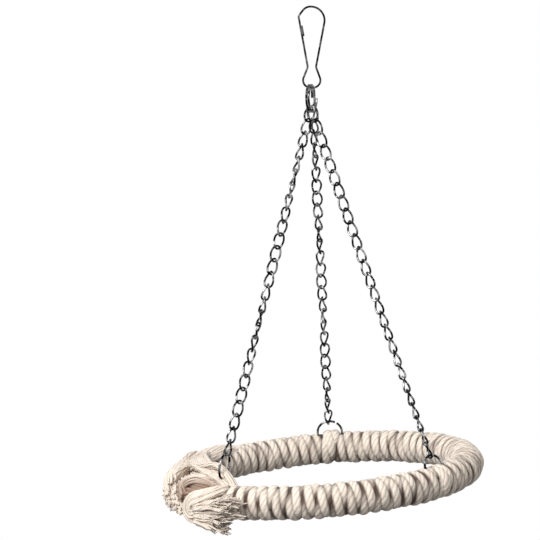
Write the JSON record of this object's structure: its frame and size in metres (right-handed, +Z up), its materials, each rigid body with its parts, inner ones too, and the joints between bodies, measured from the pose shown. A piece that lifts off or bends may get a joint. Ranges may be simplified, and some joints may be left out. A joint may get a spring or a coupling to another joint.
{
  "type": "hanging bird swing",
  "caption": "Rope-wrapped hoop perch for a pet bird, hung level by chains from a split ring and a spring-wire snap hook.",
  "frame": {"origin": "hanging point: where a bar touches the inside of the hook's crown", "axes": "+Z up, +X to the viewer's right, +Y away from the viewer; the hook's wire lies in the XZ plane"},
  "size_m": [0.1987, 0.1999, 0.3118],
  "materials": {
    "hook_steel": "nickel-plated, dark and glossy",
    "chain_steel": "nickel-plated, glossy",
    "ring_steel": "nickel-plated, glossy",
    "core_steel": "plain dark steel wire",
    "rope": "undyed three-strand cotton rope",
    "yarn": "loose cotton yarn"
  },
  "bodies": {
    "hook": {"hook_wire": "hook_steel"},
    "gate": {"hook_gate": "hook_steel"},
    "split_ring": {"split_ring": "hook_steel"},
    "top_links": {"left_top_link": "chain_steel", "right_top_link": "chain_steel", "back_top_link": "chain_steel"},
    "seat": {"left_chain": "chain_steel", "right_chain": "chain_steel", "back_chain": "chain_steel", "left_seat_ring": "ring_steel", "right_seat_ring": "ring_steel", "back_seat_ring": "ring_steel", "hoop_core": "core_steel", "front_wrap": "rope", "right_wrap": "rope", "back_wrap": "rope", "left_wrap": "rope", "upper_rope_end": "rope", "rope_hitch": "rope", "lower_rope_end": "rope", "upper_tuft": "yarn", "lower_tassel": "yarn"}
  },
  "joints": [
    {"name": "gate_flex", "type": "hinge", "parent": "hook", "child": "gate", "pos_m": [-0.00228, 0, -0.03414], "axis": [0, 1, 0], "range_deg": [0, 18], "stiffness_Nm_per_rad": 0.25},
    {"name": "ring_swing", "type": "hinge", "parent": "hook", "child": "split_ring", "pos_m": [0.0006, 0, -0.04955], "axis": [1, 0, 0], "range_deg": [-50, 50]},
    {"name": "links_swing", "type": "hinge", "parent": "split_ring", "child": "top_links", "pos_m": [0.0006, 0, -0.0645], "axis": [0.2756, 0.9613, 0], "range_deg": [-30, 30]},
    {"name": "seat_twist", "type": "hinge", "parent": "top_links", "child": "seat", "pos_m": [0.0006, 0, -0.0645], "axis": [0, 0, 1], "range_deg": [-4, 4]}
  ]
}
